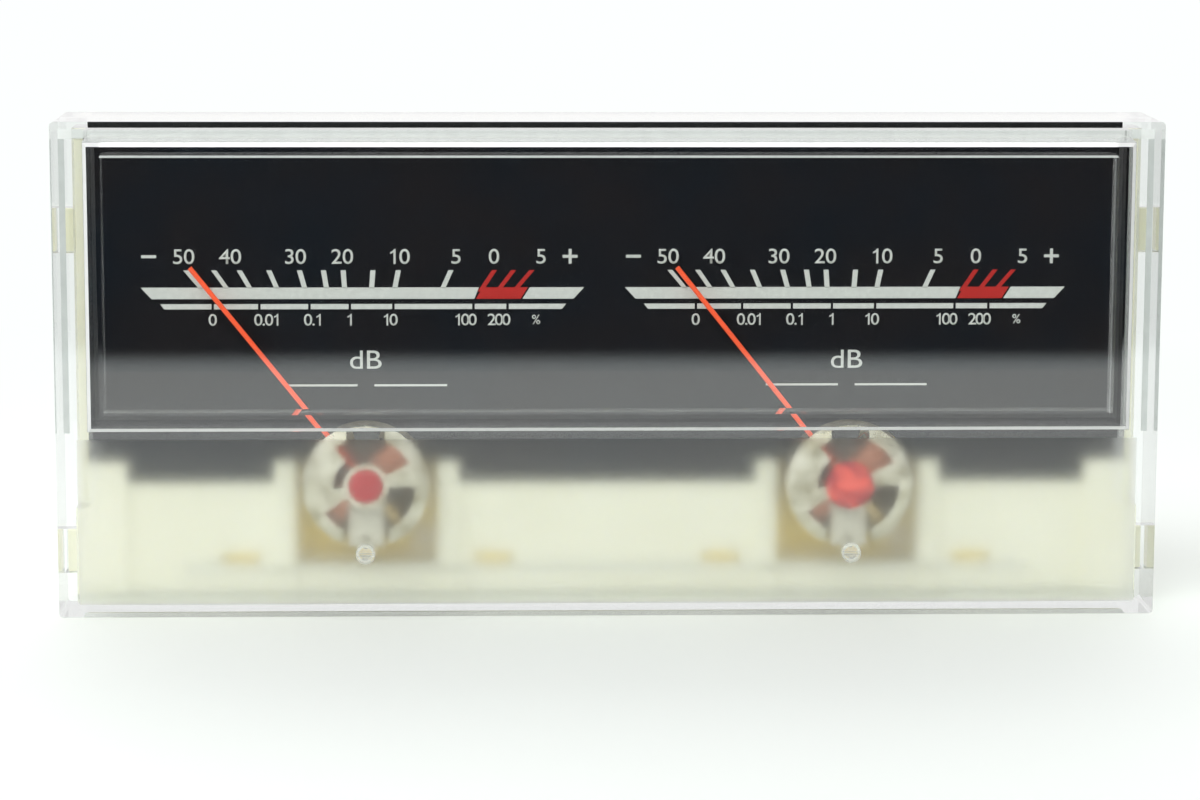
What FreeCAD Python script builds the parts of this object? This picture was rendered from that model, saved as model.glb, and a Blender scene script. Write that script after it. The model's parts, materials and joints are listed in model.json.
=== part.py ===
import FreeCAD, Part
import math
import os

from FreeCAD import Vector

# Twin-pointer level meter for an amplifier's front panel, in millimetres.
# X runs to the right as seen from the front, Y to the back, Z up.
# Inside this file y = 0 is the cover's main front face, which seats behind the panel.
# Angles on a movement run clockwise from straight up, as seen from the front.

# Clear cover
COVER_WIDTH = 155.0
COVER_HEIGHT = 70.0
COVER_DEPTH = 16.8
FRONT_WALL = 1.8
SIDE_WALL = 2.5
TOP_WALL = 1.3
BOTTOM_WALL = 1.8
CORNER_RADIUS = 0.6

# Raised window block of the cover
WINDOW_RISE = 6.5
WINDOW_SIDE_MARGIN = 4.9
WINDOW_TOP_MARGIN = 2.1
WINDOW_BOTTOM = 27.35
WINDOW_DRAFT = 0.2
WINDOW_BEVEL = 0.6
WINDOW_PANE = 2.0
WINDOW_WALL = 2.2

# Ribs inside the cover that hold the dial down, and its snap windows
RIB_THICKNESS = 2.0
RIB_BOTTOM = 15.5
SNAP_HEIGHT = 6.0
SNAP_DEPTH = 2.6
SNAP_LEVELS = (5.0, 51.0)
SNAP_BEHIND_DIAL = 3.6
SNAP_GAP = 0.2
SNAP_REACH = 2.0

# Dial plate and the diffuser film behind it
DIAL_FRONT = 7.6
DIAL_THICKNESS = 0.6
DIAL_BELOW_PIVOT = 0.2
DIAL_STEP = 3.1
DIAL_EDGE_GAP = 1.6
DIFFUSER_THICKNESS = 0.4

# Movements: both pivots lie at one height, either side of the middle
PIVOT_OFFSET = 34.3
PIVOT_HEIGHT = 18.2
REST_ANGLE = -38.6
POINTER_REACH = 39.4
POINTER_DIAMETER = 0.7
POINTER_BORE = 0.4

# Front bridge of a movement
BRIDGE_RADIUS = 8.9
BRIDGE_FRONT = 2.9
BRIDGE_THICKNESS = 0.6
BRIDGE_DROP = 0.8
BRIDGE_WINDOW_RADIUS = 7.0
BRIDGE_HUB_RADIUS = 3.2
BRIDGE_RIM = 0.4
BRIDGE_TOP_SLOT = 5.4
BRIDGE_BOTTOM_SLOT = 6.6
CRESCENT_INNER_RADIUS = 4.6
BRIDGE_WINDOWS = ((-38.0, 62.0), (90.0, 170.0), (190.0, 238.0))
CRESCENT_WINDOW = (266.0, 322.0)
BRIDGE_SLEEVE_RADIUS = 1.4
POST_RADIUS = 0.7
POST_CIRCLE = 8.05
POST_ANGLES = (54.0, 112.0, 248.0, 306.0)

# Magnet, yoke and coil
CORE_RADIUS = 5.2
CORE_GAP_BEHIND_COIL = 0.65
CLAMP_HALF_ANGLE = 16.0
CLAMP_SETBACK = 0.7
COIL_CLEARANCE = 0.35
FORMER_THICKNESS = 0.3
WINDING_SIDE = 0.9
WINDING_FRONT = 0.6
COIL_WIDTH = 4.0
COIL_CORNER = 0.5
COIL_FRONT = 6.75
YOKE_CLEARANCE = 0.2
YOKE_FRONT = 8.5

# Pivots, bearing screws and varnish
SCREW_RADIUS = 0.9
SCREW_HEAD_RADIUS = 1.5
SCREW_HEAD_HEIGHT = 0.5
SCREW_SLOT_WIDTH = 0.4
SCREW_SLOT_DEPTH = 0.25
JEWEL_RADIUS = 0.25
JEWEL_DEPTH = 0.5
PIVOT_TIP_RADIUS = 0.18
PIVOT_TIP_GAP = 0.1
COLLET_RADIUS = 0.9
COLLET_LENGTH = 0.4
STAFF_RADIUS = 0.5
VARNISH_RADIUS = {"left": 2.5, "right": 3.4}
VARNISH_COVER = 0.15

# Balance arm and counterweight
ARM_HUB_RADIUS = 1.6
ARM_THICKNESS = 0.7
ARM_WIDTH = 0.8
WEIGHT_START = 4.2
WEIGHT_RADIUS = 0.85
POINTER_DENSITY = 2.70
ARM_DENSITY = 2.70
WEIGHT_DENSITY = 8.50

# Hairsprings
SPRING_STRIP = 0.12
SPRING_HEIGHT = 0.3
SPRING_TURNS = 2.5
SPRING_OUTER_RADIUS = 3.45
SPRING_GAP = 0.02
PEG_RADIUS = 0.3

# Zero lever and zero-adjust stud
LEVER_THICKNESS = 0.4
LEVER_WIDTH = 5.0
LEVER_LENGTH = 8.9
LEVER_HUB_RADIUS = 3.0
LEVER_BEARING_GAP = 0.1
LEVER_BRIDGE_GAP = 0.2
FORK_GAP = 0.2
FORK_END_GAP = 0.25
STUD_BELOW_PIVOT = 9.1
STUD_HEAD_RADIUS = 1.35
STUD_HEAD_RISE = 1.4
STUD_HEAD_CHAMFER = 0.25
STUD_SHANK_RADIUS = 0.95
STUD_RUNNING_GAP = 0.05
STUD_COLLAR = 0.45
STUD_SLOT_WIDTH = 0.45
STUD_SLOT_DEPTH = 0.5
CRANK_OFFSET = 0.85
CRANK_PIN_RADIUS = 0.45
CRANK_OVERRUN = 0.2

# Base plate and its screws, as distances from the pivot
PLATE_WIDTH = 20.0
PLATE_BELOW = 12.5
PLATE_ABOVE = 10.5
PLATE_THICKNESS = 1.0
PLATE_SCREWS = ((-7.8, 8.7), (7.8, -9.5))
PLATE_SCREW_RADIUS = 0.95
PLATE_SCREW_HEAD = 1.7
PLATE_SCREW_HEAD_HEIGHT = 1.0
PLATE_SCREW_GRIP = 3.2
PLATE_SCREW_GAP = 0.1

# Rear bridge
REAR_BRIDGE_GAP = 2.2
REAR_BRIDGE_THICKNESS = 0.8
REAR_BRIDGE_WIDTH = 4.0
REAR_POST_CIRCLE = 8.2
REAR_POST_RADIUS = 0.8
REAR_BRIDGE_MARGIN = 0.3
REAR_SCREW_STANDOFF = 1.1

# Ivory rear housing
HOUSING_WALL = 1.8
HOUSING_GAP = 0.2
WALL_PAST_RIM = 1.4
WALL_BEFORE_RIM = 0.5
TAB_LEAD = 0.6
TAB_GAP = 0.1
END_TAB_WIDTH = 6.5
COLUMN_OFFSET = 10.1
COLUMN_WIDTH = 3.0
POCKET_RADIUS = 9.5
BOSS_HALF_WIDTH = 13.5
BOSS_BELOW = 14.4
BOSS_ABOVE = 13.0
BOSS_DEPTH = 5.5
BOSS_BACK_WALL = 1.6
BOSS_CORNER = 2.0
APRON_OVERLAP = 0.3
BAY_SILL = 12.7
LAMP_WINDOW_GAP = 0.2
LIP_INSET = 3.0
LIP_WIDTH = 1.4
LIP_HEIGHT = 1.2

# Lamps and terminals
BOARD_LENGTH = 120.0
BOARD_THICKNESS = 1.0
BOARD_BELOW_PIVOT = 13.2
BOARD_SETBACK = 0.1
BOARD_GAP = 0.1
LED_OFFSET = 18.0
LED_SIZE = 5.0
LED_HEIGHT = 1.6
LED_LENS_RADIUS = 1.9
LED_LENS_DEPTH = 0.25
PIN_RADIUS = 0.5
PIN_SHOULDER_RADIUS = 0.75
PIN_SHOULDER_RISE = 0.3
PIN_LENGTH_OUT = 4.7
PIN_LENGTH_IN = 1.5
PIN_OFFSETS = ((-5.0, -6.0), (5.0, -6.0))
LAMP_PIN_SPACING = 5.08
LAMP_PIN_OVERLAP = 2.0
LAMP_PIN_OUT = 5.9

# Levels along Y that several pieces share
DIAL_BACK = DIAL_FRONT + DIAL_THICKNESS
DIFFUSER_BACK = DIAL_BACK + DIFFUSER_THICKNESS
FORMER_FRONT = COIL_FRONT + WINDING_FRONT
CORE_FRONT = FORMER_FRONT + FORMER_THICKNESS + CORE_GAP_BEHIND_COIL
PLATE_BACK = COVER_DEPTH - WALL_BEFORE_RIM
CORE_BACK = PLATE_BACK - PLATE_THICKNESS
FORMER_BACK = CORE_BACK + CORE_GAP_BEHIND_COIL + FORMER_THICKNESS
COIL_BACK = FORMER_BACK + WINDING_FRONT
BRIDGE_BACK = BRIDGE_FRONT + BRIDGE_THICKNESS + BRIDGE_DROP
LEVER_FRONT = BRIDGE_BACK + LEVER_BRIDGE_GAP
LEVER_BACK = LEVER_FRONT + LEVER_THICKNESS
SCREW_TIP = LEVER_BACK + 0.3
COLLET_FRONT = SCREW_TIP + PIVOT_TIP_GAP
COLLET_BACK = COLLET_FRONT + COLLET_LENGTH
ARM_FRONT = COLLET_BACK
POINTER_LEVEL = ARM_FRONT + ARM_THICKNESS / 2
REAR_STAFF_BACK = COIL_BACK + 0.75
REAR_COLLET_BACK = REAR_STAFF_BACK + COLLET_LENGTH
REAR_SCREW_TIP = REAR_COLLET_BACK + PIVOT_TIP_GAP
REAR_BRIDGE_FRONT = PLATE_BACK + REAR_BRIDGE_GAP
REAR_BRIDGE_BACK = REAR_BRIDGE_FRONT + REAR_BRIDGE_THICKNESS
WALL_FRONT = PLATE_BACK
WALL_BACK = COVER_DEPTH + WALL_PAST_RIM
BOSS_BACK = WALL_BACK + BOSS_DEPTH
PIN_END = BOSS_BACK + PIN_LENGTH_OUT
TAB_FRONT = DIAL_FRONT - TAB_LEAD

# Sizes that follow from the ones above
HALF_WIDTH = COVER_WIDTH / 2
CAVITY_HALF_WIDTH = HALF_WIDTH - SIDE_WALL
CAVITY_TOP = COVER_HEIGHT - TOP_WALL
HOUSING_HALF_WIDTH = CAVITY_HALF_WIDTH - HOUSING_GAP
HOUSING_TOP = CAVITY_TOP - HOUSING_GAP
HOUSING_BOTTOM = BOTTOM_WALL + HOUSING_GAP
STUD_HEIGHT = PIVOT_HEIGHT - STUD_BELOW_PIVOT
DIAL_BOTTOM = PIVOT_HEIGHT - DIAL_BELOW_PIVOT
TAB_TOP = DIAL_BOTTOM + DIAL_STEP - TAB_GAP
FORMER_HALF_WIDTH = CORE_RADIUS + COIL_CLEARANCE + FORMER_THICKNESS
COIL_HALF_WIDTH = FORMER_HALF_WIDTH + WINDING_SIDE
YOKE_BORE = math.hypot(COIL_HALF_WIDTH, COIL_WIDTH / 2) + YOKE_CLEARANCE
DIAL_CUTOUT = BRIDGE_RADIUS + 0.2
BOARD_BOTTOM = PIVOT_HEIGHT - BOARD_BELOW_PIVOT
BOARD_TOP = BOARD_BOTTOM + BOARD_THICKNESS
SNAP_FRONT = DIFFUSER_BACK + SNAP_BEHIND_DIAL
APRON_BACK = DIFFUSER_BACK + APRON_OVERLAP

# The part's origin lies under the middle of its whole depth
ORIGIN_Y = (PIN_END - WINDOW_RISE) / 2

SIDES = {"left": -PIVOT_OFFSET, "right": PIVOT_OFFSET}
Y_AXIS = Vector(0, 1, 0)


def polar(radius, angle):
    """X and Z of a point on a movement, from its radius and its angle from straight up."""
    return radius * math.sin(math.radians(angle)), radius * math.cos(math.radians(angle))


def block(x, y, z):
    """Box from three (low, high) pairs."""
    return Part.makeBox(x[1] - x[0], y[1] - y[0], z[1] - z[0], Vector(x[0], y[0], z[0]))


def rod(radius, y, x=0.0, z=0.0):
    """Cylinder along Y between the two levels in y."""
    return Part.makeCylinder(radius, y[1] - y[0], Vector(x, y[0], z), Y_AXIS)


def ring(outer, inner, y):
    """Tube along Y about the pivot axis."""
    return rod(outer, y).cut(rod(inner, y))


def turned(points):
    """Solid of revolution about the Y axis from (radius, y) corners."""
    corners = [Vector(radius, y, 0) for radius, y in points]
    return Part.Face(Part.makePolygon(corners + corners[:1])).revolve(Vector(0, 0, 0), Y_AXIS, 360)


def sector(outer, inner, angles, y):
    """Piece of a ring between two angles."""
    start, end = angles
    middle = (start + end) / 2

    def at(radius, angle):
        x, z = polar(radius, angle)
        return Vector(x, y[0], z)

    edges = [
        Part.Arc(at(outer, start), at(outer, middle), at(outer, end)).toShape(),
        Part.makeLine(at(outer, end), at(inner, end)),
        Part.Arc(at(inner, end), at(inner, middle), at(inner, start)).toShape(),
        Part.makeLine(at(inner, start), at(outer, start)),
    ]
    return Part.Face(Part.Wire(edges)).extrude(Vector(0, y[1] - y[0], 0))


def frustum(low, high):
    """Loft between two rectangles, each given as (y, half width, bottom, top)."""
    wires = []
    for y, half, bottom, top in (low, high):
        corners = [Vector(-half, y, bottom), Vector(half, y, bottom), Vector(half, y, top), Vector(-half, y, top)]
        wires.append(Part.makePolygon(corners + corners[:1]))
    return Part.makeLoft(wires, True, True)


def edges_along(shape, direction):
    """The straight edges of a shape that run along one direction."""
    found = []
    for edge in shape.Edges:
        run = edge.Vertexes[-1].Point - edge.Vertexes[0].Point
        if run.Length > 0 and abs(run.normalize().dot(direction)) > 0.999:
            found.append(edge)
    return found


def slot_cut(radius, y, width):
    """Slot across a screw head, along X."""
    return block((-2 * radius, 2 * radius), y, (-width / 2, width / 2))


# Cover

def window_sections():
    """Outer rectangles of the window block: root, shoulder and face."""
    root = (0.0, HALF_WIDTH - WINDOW_SIDE_MARGIN, WINDOW_BOTTOM, COVER_HEIGHT - WINDOW_TOP_MARGIN)
    shoulder = inset(root, WINDOW_BEVEL - WINDOW_RISE, WINDOW_DRAFT)
    face = inset(shoulder, -WINDOW_RISE, WINDOW_BEVEL)
    return root, shoulder, face


def inset(section, y, amount):
    """A section moved to another level and drawn in on all four sides."""
    return y, section[1] - amount, section[2] + amount, section[3] - amount


def snap_windows(gap):
    """Boxes of the snap windows on the right wall, grown by a gap."""
    span = (SNAP_FRONT - gap, SNAP_FRONT + SNAP_DEPTH + gap)
    reach = (HOUSING_HALF_WIDTH - SNAP_GAP, HALF_WIDTH + 1.0)
    return [block(reach, span, (level - gap, level + SNAP_HEIGHT + gap)) for level in SNAP_LEVELS]


def clear_cover():
    body = block((-HALF_WIDTH, HALF_WIDTH), (0.0, COVER_DEPTH), (0.0, COVER_HEIGHT))
    body = body.makeFillet(CORNER_RADIUS, edges_along(body, Y_AXIS))
    root, shoulder, face = window_sections()
    body = body.fuse(frustum(root, shoulder)).fuse(frustum(shoulder, face))
    cavity_x = (-CAVITY_HALF_WIDTH, CAVITY_HALF_WIDTH)
    body = body.cut(block(cavity_x, (FRONT_WALL, COVER_DEPTH), (BOTTOM_WALL, CAVITY_TOP)))
    inner_root = inset(root, FRONT_WALL, WINDOW_WALL)
    inner_face = inset(shoulder, WINDOW_PANE - WINDOW_RISE, WINDOW_WALL)
    body = body.cut(frustum(inner_root, inner_face))
    for side in (-1, 1):
        rib_x = sorted((side * (CAVITY_HALF_WIDTH - RIB_THICKNESS), side * CAVITY_HALF_WIDTH))
        body = body.fuse(block(rib_x, (FRONT_WALL, TAB_FRONT - TAB_GAP), (RIB_BOTTOM, CAVITY_TOP)))
        body = body.fuse(block(rib_x, (FRONT_WALL, DIAL_FRONT), (DIAL_BOTTOM + DIAL_STEP, CAVITY_TOP)))
        body = body.cut(rod(STUD_SHANK_RADIUS + STUD_RUNNING_GAP, (-1.0, FRONT_WALL + 1.0),
                            side * PIVOT_OFFSET, STUD_HEIGHT))
    for window in snap_windows(SNAP_GAP):
        body = body.cut(window)
        body = body.cut(window.mirror(Vector(0, 0, 0), Vector(1, 0, 0)))
    return body.removeSplitter()


# Dial

def dial_sheet(y):
    """The dial's outline, with its stepped lower edge and the cut-outs for the movements."""
    half = CAVITY_HALF_WIDTH - DIAL_EDGE_GAP
    sheet = block((-half, half), y, (DIAL_BOTTOM, CAVITY_TOP - DIAL_EDGE_GAP))
    step = (DIAL_BOTTOM - 1.0, DIAL_BOTTOM + DIAL_STEP)
    tab_inner = HOUSING_HALF_WIDTH - END_TAB_WIDTH - TAB_GAP
    for side in (-1, 1):
        sheet = sheet.cut(block(sorted((side * tab_inner, side * HALF_WIDTH)), y, step))
        notch = COLUMN_OFFSET + COLUMN_WIDTH + TAB_GAP
        centre = side * PIVOT_OFFSET
        sheet = sheet.cut(block((centre - notch, centre + notch), y, step))
        sheet = sheet.cut(rod(DIAL_CUTOUT, y, centre, PIVOT_HEIGHT))
    return sheet


def dial_plate():
    return dial_sheet((DIAL_FRONT, DIAL_BACK))


def dial_diffuser():
    return dial_sheet((DIAL_BACK, DIFFUSER_BACK))


# Rear housing

def boss(centre):
    """Block behind one movement."""
    body = block((centre - BOSS_HALF_WIDTH, centre + BOSS_HALF_WIDTH), (WALL_BACK, BOSS_BACK),
                 (PIVOT_HEIGHT - BOSS_BELOW, PIVOT_HEIGHT + BOSS_ABOVE))
    return body.makeFillet(BOSS_CORNER, edges_along(body, Y_AXIS))


def apron():
    """Wall below the dial, with a bay for each movement and a window in front of each lamp."""
    levels = (DIAL_FRONT, APRON_BACK)
    wall = block((-HOUSING_HALF_WIDTH, HOUSING_HALF_WIDTH), levels, (HOUSING_BOTTOM, DIAL_BOTTOM - TAB_GAP))
    for centre in SIDES.values():
        bay_z = (PIVOT_HEIGHT - BAY_SILL, PIVOT_HEIGHT)
        wall = wall.cut(block((centre - COLUMN_OFFSET, centre + COLUMN_OFFSET), levels, bay_z))
        for side in (-1, 1):
            middle = centre + side * LED_OFFSET
            half = LED_SIZE / 2 + LAMP_WINDOW_GAP
            window_z = (BOARD_TOP, BOARD_TOP + LED_HEIGHT + LAMP_WINDOW_GAP)
            wall = wall.cut(block((middle - half, middle + half), levels, window_z))
    return wall


def rear_housing():
    tray_x = (-HOUSING_HALF_WIDTH, HOUSING_HALF_WIDTH)
    tray = block(tray_x, (DIFFUSER_BACK, WALL_BACK), (HOUSING_BOTTOM, HOUSING_TOP))
    inside_x = (tray_x[0] + HOUSING_WALL, tray_x[1] - HOUSING_WALL)
    inside_z = (HOUSING_BOTTOM + HOUSING_WALL, HOUSING_TOP - HOUSING_WALL)
    body = tray.cut(block(inside_x, (DIFFUSER_BACK, WALL_FRONT), inside_z)).fuse(apron())
    lip_x = (LIP_INSET - HALF_WIDTH, HALF_WIDTH - LIP_INSET)
    lip_z = (LIP_INSET, COVER_HEIGHT - LIP_INSET)
    lip = block(lip_x, (WALL_BACK, WALL_BACK + LIP_HEIGHT), lip_z)
    lip = lip.cut(block((lip_x[0] + LIP_WIDTH, lip_x[1] - LIP_WIDTH), (WALL_BACK, WALL_BACK + LIP_HEIGHT),
                        (lip_z[0] + LIP_WIDTH, lip_z[1] - LIP_WIDTH)))
    body = body.fuse(lip)
    tab_z = (HOUSING_BOTTOM, TAB_TOP)
    for side in (-1, 1):
        tab_x = sorted((side * (HOUSING_HALF_WIDTH - END_TAB_WIDTH), side * HOUSING_HALF_WIDTH))
        body = body.fuse(block(tab_x, (TAB_FRONT, WALL_FRONT), tab_z))
    for centre in SIDES.values():
        body = body.fuse(boss(centre))
        for side in (-1, 1):
            near = centre + side * COLUMN_OFFSET
            column_x = sorted((near, near + side * COLUMN_WIDTH))
            body = body.fuse(block(column_x, (TAB_FRONT, WALL_FRONT), tab_z))
        pocket = (WALL_FRONT, BOSS_BACK - BOSS_BACK_WALL)
        body = body.cut(rod(POCKET_RADIUS, pocket, centre, PIVOT_HEIGHT))
        for x, z in PLATE_SCREWS:
            pilot = (WALL_FRONT, PLATE_BACK + PLATE_SCREW_GRIP)
            body = body.cut(rod(PLATE_SCREW_RADIUS, pilot, centre + x, PIVOT_HEIGHT + z))
        for x, z in PIN_OFFSETS:
            body = body.cut(rod(PIN_SHOULDER_RADIUS, (WALL_BACK, BOSS_BACK), centre + x, PIVOT_HEIGHT + z))
    body = body.cut(led_board_slot())
    for x in lamp_pin_places():
        body = body.cut(rod(PIN_SHOULDER_RADIUS, (WALL_FRONT, WALL_BACK), x, lamp_pin_height()))
    for lug in snap_windows(0.0):
        lug = lug.common(block((0.0, HALF_WIDTH - SIDE_WALL + SNAP_REACH), (0.0, WALL_BACK), (0.0, COVER_HEIGHT)))
        body = body.fuse(lug)
        body = body.fuse(lug.mirror(Vector(0, 0, 0), Vector(1, 0, 0)))
    return body.removeSplitter()


# Lamps

def board_levels():
    return DIAL_FRONT + BOARD_SETBACK, CORE_BACK - BOARD_GAP


def led_board():
    return block((-BOARD_LENGTH / 2, BOARD_LENGTH / 2), board_levels(), (BOARD_BOTTOM, BOARD_TOP))


def led_board_slot():
    back = board_levels()[1] + BOARD_GAP
    half = BOARD_LENGTH / 2 + BOARD_GAP
    return block((-half, half), (TAB_FRONT, back), (BOARD_BOTTOM - BOARD_GAP, BOARD_TOP + BOARD_GAP))


def led_lamps():
    """Four square lamps on the board, each with a round well of phosphor in its top."""
    lamps = []
    middle = (APRON_BACK + board_levels()[1]) / 2
    for centre in SIDES.values():
        for side in (-1, 1):
            x = centre + side * LED_OFFSET
            half = LED_SIZE / 2
            lamp = block((x - half, x + half), (middle - half, middle + half), (BOARD_TOP, BOARD_TOP + LED_HEIGHT))
            well = Part.makeCylinder(LED_LENS_RADIUS, LED_LENS_DEPTH,
                                     Vector(x, middle, BOARD_TOP + LED_HEIGHT - LED_LENS_DEPTH))
            lamps.append(lamp.cut(well))
    return Part.makeCompound(lamps)


def pin(start, face, end, x, z):
    """Round pin with a shoulder that ends just proud of the face it comes out of."""
    shoulder_end = face + PIN_SHOULDER_RISE
    return rod(PIN_SHOULDER_RADIUS, (start, shoulder_end), x, z).fuse(rod(PIN_RADIUS, (shoulder_end, end), x, z))


def lamp_pin_places():
    return -LAMP_PIN_SPACING / 2, LAMP_PIN_SPACING / 2


def lamp_pin_height():
    return BOARD_TOP + PIN_SHOULDER_RADIUS


def lamp_terminals():
    start = board_levels()[1] - LAMP_PIN_OVERLAP
    end = WALL_BACK + LAMP_PIN_OUT
    return Part.makeCompound([pin(start, WALL_BACK, end, x, lamp_pin_height()) for x in lamp_pin_places()])


# Fixed pieces of a movement, drawn about the pivot axis

def bridge_dome():
    """Disc with a rounded shoulder that falls away towards its rim."""
    front = BRIDGE_FRONT
    flat = BRIDGE_WINDOW_RADIUS - 1.0
    shoulder = (flat + BRIDGE_RADIUS) / 2
    drop = front + BRIDGE_DROP
    outline = [(0.0, front), (flat, front), (shoulder, front + 0.2 * BRIDGE_DROP), (BRIDGE_RADIUS, drop),
               (BRIDGE_RADIUS, drop + BRIDGE_THICKNESS), (shoulder, drop + 0.6 * BRIDGE_THICKNESS),
               (flat, front + BRIDGE_THICKNESS), (0.0, front + BRIDGE_THICKNESS)]
    return turned(outline)


def front_bridge():
    levels = (BRIDGE_FRONT - 1.0, BRIDGE_BACK + 1.0)
    body = bridge_dome()
    for angles in BRIDGE_WINDOWS:
        body = body.cut(sector(BRIDGE_WINDOW_RADIUS, BRIDGE_HUB_RADIUS, angles, levels))
    body = body.cut(sector(CRESCENT_INNER_RADIUS, BRIDGE_HUB_RADIUS, CRESCENT_WINDOW, levels))
    top = BRIDGE_TOP_SLOT / 2
    top_slot = block((-top, top), levels, (BRIDGE_WINDOW_RADIUS - 1.0, BRIDGE_RADIUS))
    body = body.cut(top_slot.common(rod(BRIDGE_RADIUS - BRIDGE_RIM, levels)))
    bottom = BRIDGE_BOTTOM_SLOT / 2
    body = body.cut(block((-bottom, bottom), levels, (-BRIDGE_RADIUS - 1.0, -BRIDGE_HUB_RADIUS)))
    body = body.fuse(rod(BRIDGE_SLEEVE_RADIUS, (BRIDGE_FRONT, LEVER_BACK)))
    for angle in POST_ANGLES:
        x, z = polar(POST_CIRCLE, angle)
        body = body.fuse(rod(POST_RADIUS, (BRIDGE_FRONT + BRIDGE_DROP, YOKE_FRONT), x, z))
    return body.cut(rod(SCREW_RADIUS, levels)).removeSplitter()


def bearing_screw(tip, head, way):
    """Slotted screw with a jewel cup in its tip; way is 1 where the tip points to the back."""
    jewel_end = tip - way * JEWEL_DEPTH
    body = rod(SCREW_RADIUS, sorted((tip, head)))
    body = body.fuse(rod(SCREW_HEAD_RADIUS, sorted((head, head - way * SCREW_HEAD_HEIGHT))))
    slot_levels = sorted((head - way * SCREW_HEAD_HEIGHT, head - way * (SCREW_HEAD_HEIGHT - SCREW_SLOT_DEPTH)))
    body = body.cut(slot_cut(SCREW_HEAD_RADIUS, slot_levels, SCREW_SLOT_WIDTH))
    return body.cut(rod(JEWEL_RADIUS, sorted((tip, jewel_end))))


def front_screw():
    return bearing_screw(SCREW_TIP, BRIDGE_FRONT, 1)


def rear_screw():
    return bearing_screw(REAR_SCREW_TIP, REAR_BRIDGE_BACK + REAR_SCREW_STANDOFF, -1)


def varnish(side):
    """Drop of locking varnish over the front screw's head."""
    radius = VARNISH_RADIUS[side]
    crown = BRIDGE_FRONT - SCREW_HEAD_HEIGHT - VARNISH_COVER
    outline = [(0.0, crown), (0.7 * radius, crown), (0.93 * radius, crown + 0.3), (radius, BRIDGE_FRONT),
               (0.0, BRIDGE_FRONT)]
    return turned(outline).cut(front_screw()).cut(front_bridge())


def magnet_core():
    return rod(CORE_RADIUS, (CORE_FRONT, CORE_BACK))


def core_clamp():
    """Two lugs that hold the core in the middle of the yoke, clear of the coil's sweep."""
    levels = (CORE_FRONT + CLAMP_SETBACK, CORE_BACK)
    lugs = []
    for middle in (0.0, 180.0):
        lugs.append(sector(YOKE_BORE, CORE_RADIUS, (middle - CLAMP_HALF_ANGLE, middle + CLAMP_HALF_ANGLE), levels))
    return Part.makeCompound(lugs)


def yoke_ring():
    return ring(BRIDGE_RADIUS, YOKE_BORE, (YOKE_FRONT, CORE_BACK))


def base_plate():
    half = PLATE_WIDTH / 2
    levels = (CORE_BACK, PLATE_BACK)
    body = block((-half, half), levels, (-PLATE_BELOW, PLATE_ABOVE)).cut(rod(YOKE_BORE, levels))
    for x, z in PLATE_SCREWS:
        body = body.cut(rod(PLATE_SCREW_RADIUS + PLATE_SCREW_GAP, levels, x, z))
    return body


def plate_screws():
    screws = []
    for x, z in PLATE_SCREWS:
        screw = rod(PLATE_SCREW_RADIUS, (CORE_BACK, PLATE_BACK + PLATE_SCREW_GRIP))
        head_levels = (CORE_BACK - PLATE_SCREW_HEAD_HEIGHT, CORE_BACK)
        screw = screw.fuse(rod(PLATE_SCREW_HEAD, head_levels))
        slot_levels = (head_levels[0], head_levels[0] + PLATE_SCREW_HEAD_HEIGHT / 2)
        screw = screw.cut(slot_cut(PLATE_SCREW_HEAD, slot_levels, STUD_SLOT_WIDTH))
        screw.translate(Vector(x, 0, z))
        screws.append(screw)
    return Part.makeCompound(screws)


def rear_bridge():
    levels = (REAR_BRIDGE_FRONT, REAR_BRIDGE_BACK)
    half = REAR_BRIDGE_WIDTH / 2
    reach = REAR_POST_CIRCLE + REAR_POST_RADIUS + REAR_BRIDGE_MARGIN
    bar = block((-reach, reach), levels, (-half, half)).common(rod(reach, levels))
    for side in (-1, 1):
        bar = bar.fuse(rod(REAR_POST_RADIUS, (PLATE_BACK, REAR_BRIDGE_FRONT), side * REAR_POST_CIRCLE))
    bar = bar.fuse(rod(PEG_RADIUS, (REAR_STAFF_BACK, REAR_BRIDGE_FRONT), peg_radius()))
    return bar.cut(rod(SCREW_RADIUS, levels))


def terminals():
    start = BOSS_BACK - BOSS_BACK_WALL - PIN_LENGTH_IN
    return Part.makeCompound([pin(start, BOSS_BACK, PIN_END, x, z) for x, z in PIN_OFFSETS])


# Hairsprings

def peg_radius():
    """Distance of a spring's anchor peg from the pivot axis."""
    return SPRING_OUTER_RADIUS + SPRING_STRIP / 2 + PEG_RADIUS


def half_turns(offset):
    """Half-turn arcs of a spiral line that keeps the same offset from the strip's middle."""
    inner = COLLET_RADIUS + SPRING_GAP + SPRING_STRIP / 2
    count = int(round(2 * SPRING_TURNS))
    growth = (SPRING_OUTER_RADIUS - inner) / count
    arcs = []
    side = -1 if count % 2 else 1
    for index in range(count):
        start = inner + growth * index + offset
        end = start + growth
        middle_x = side * (start - end) / 2
        first = Vector(side * start, 0, 0)
        last = Vector(-side * end, 0, 0)
        crest = Vector(middle_x, 0, side * (start + end) / 2)
        arcs.append(Part.Arc(first, crest, last).toShape())
        side = -side
    return arcs


def hairspring(front):
    """Flat spiral strip from the collet out to its peg, on the +X side."""
    inside = half_turns(-SPRING_STRIP / 2)
    outside = half_turns(SPRING_STRIP / 2)
    first = Part.makeLine(inside[0].Vertexes[0].Point, outside[0].Vertexes[0].Point)
    last = Part.makeLine(inside[-1].Vertexes[-1].Point, outside[-1].Vertexes[-1].Point)
    wire = Part.Wire(Part.__sortEdges__(inside + [last] + outside + [first]))
    spring = Part.Face(wire).extrude(Vector(0, SPRING_HEIGHT, 0))
    spring.translate(Vector(0, front, 0))
    return spring


def front_hairspring():
    return hairspring(COLLET_FRONT + (COLLET_LENGTH - SPRING_HEIGHT) / 2)


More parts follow.
